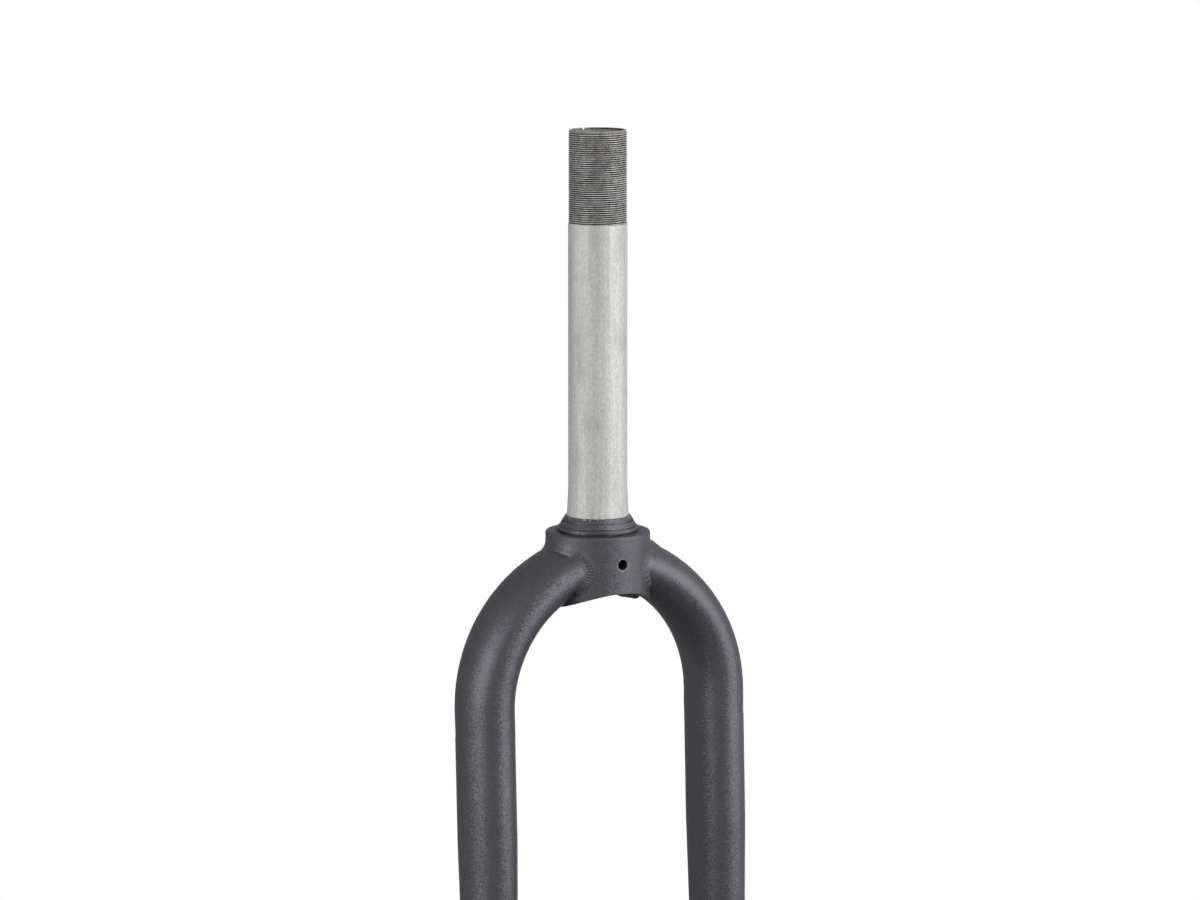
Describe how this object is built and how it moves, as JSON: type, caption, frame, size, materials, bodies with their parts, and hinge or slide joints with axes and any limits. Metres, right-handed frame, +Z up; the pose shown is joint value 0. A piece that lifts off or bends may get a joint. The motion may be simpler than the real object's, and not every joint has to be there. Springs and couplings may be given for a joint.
{
  "type": "rigid bicycle fork",
  "caption": "Rigid bicycle fork: threaded steel steerer pressed into a round arched crown, bent legs welded to the crown's sides, and open forged dropouts for the front axle.",
  "frame": {"origin": "on the steerer's axis, on the crown's top face where the bearing race is seated", "axes": "+Z up the steerer, -Y towards the front of the bicycle, +X towards the rider's left"},
  "size_m": [0.1538, 0.0774, 0.5944],
  "materials": {
    "steerer_steel": "bare drawn steel, satin, with a cut thread",
    "fork_paint": "dark graphite metallic paint, satin"
  },
  "bodies": {
    "root": {"steerer_tube": "steerer_steel", "fork_crown": "fork_paint", "crown_race": "fork_paint", "left_leg": "fork_paint", "right_leg": "fork_paint", "left_dropout": "fork_paint", "right_dropout": "fork_paint", "left_crown_weld": "fork_paint", "right_crown_weld": "fork_paint", "left_dropout_weld": "fork_paint", "right_dropout_weld": "fork_paint"}
  },
  "joints": []
}
